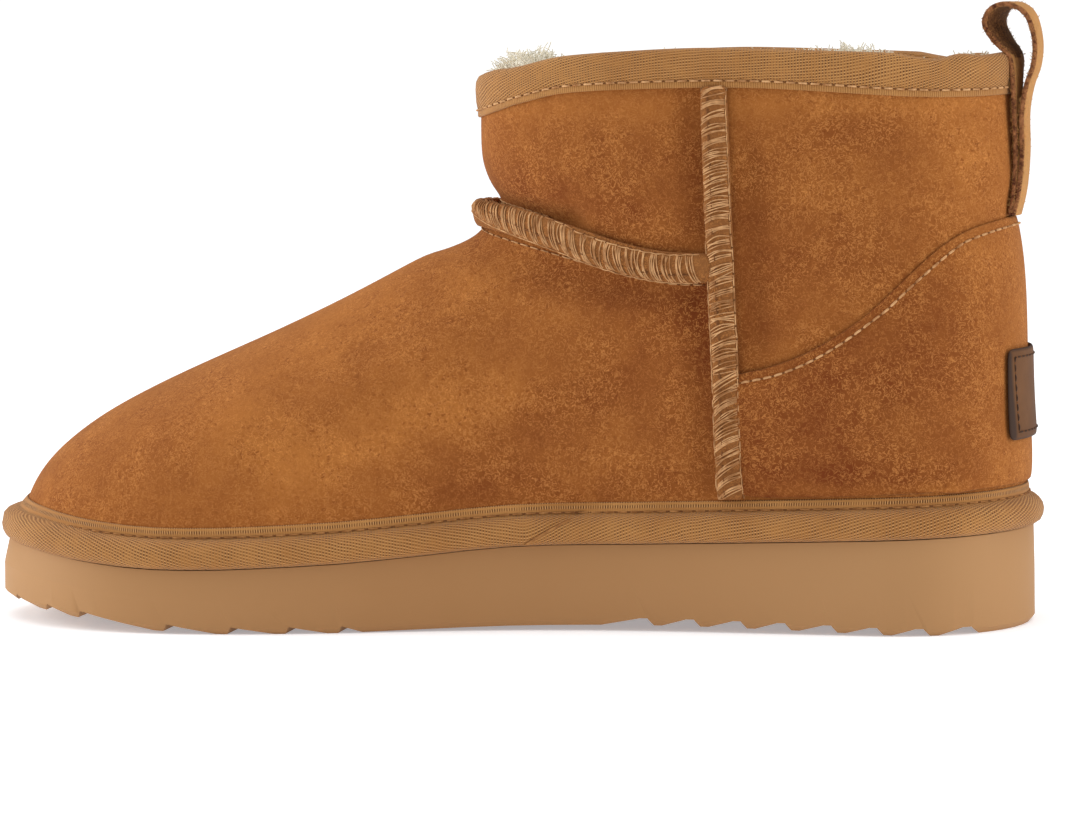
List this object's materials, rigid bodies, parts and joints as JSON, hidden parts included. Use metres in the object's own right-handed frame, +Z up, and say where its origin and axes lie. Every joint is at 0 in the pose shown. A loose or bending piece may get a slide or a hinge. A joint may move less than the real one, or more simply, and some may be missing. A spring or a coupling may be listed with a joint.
{
  "type": "slipper boot",
  "caption": "Low ankle slipper boot for the right foot: hollow soft upper with raised seams, heel counter and pull loop, open at the collar, on a lugged foam sole.",
  "frame": {"origin": "on the floor under the middle of the boot", "axes": "+X from toe to heel, -Y to the inner (medial) side, +Z up"},
  "size_m": [0.2716, 0.104, 0.1558],
  "materials": {
    "foam": "matt moulded foam",
    "suede": "brushed nap",
    "tape": "ribbed twill",
    "thread": "overlocked thread",
    "patch": "smooth, waxed, bare",
    "fleece": "wool pile"
  },
  "bodies": {
    "root": {"sole": "foam", "upper": "suede", "insole": "fleece", "sole_binding": "tape", "collar_binding": "tape", "heel_counter": "suede", "side_seam_inner": "thread", "side_seam_outer": "thread", "instep_seam": "thread", "heel_patch": "patch", "pull_loop": "suede"}
  },
  "joints": []
}
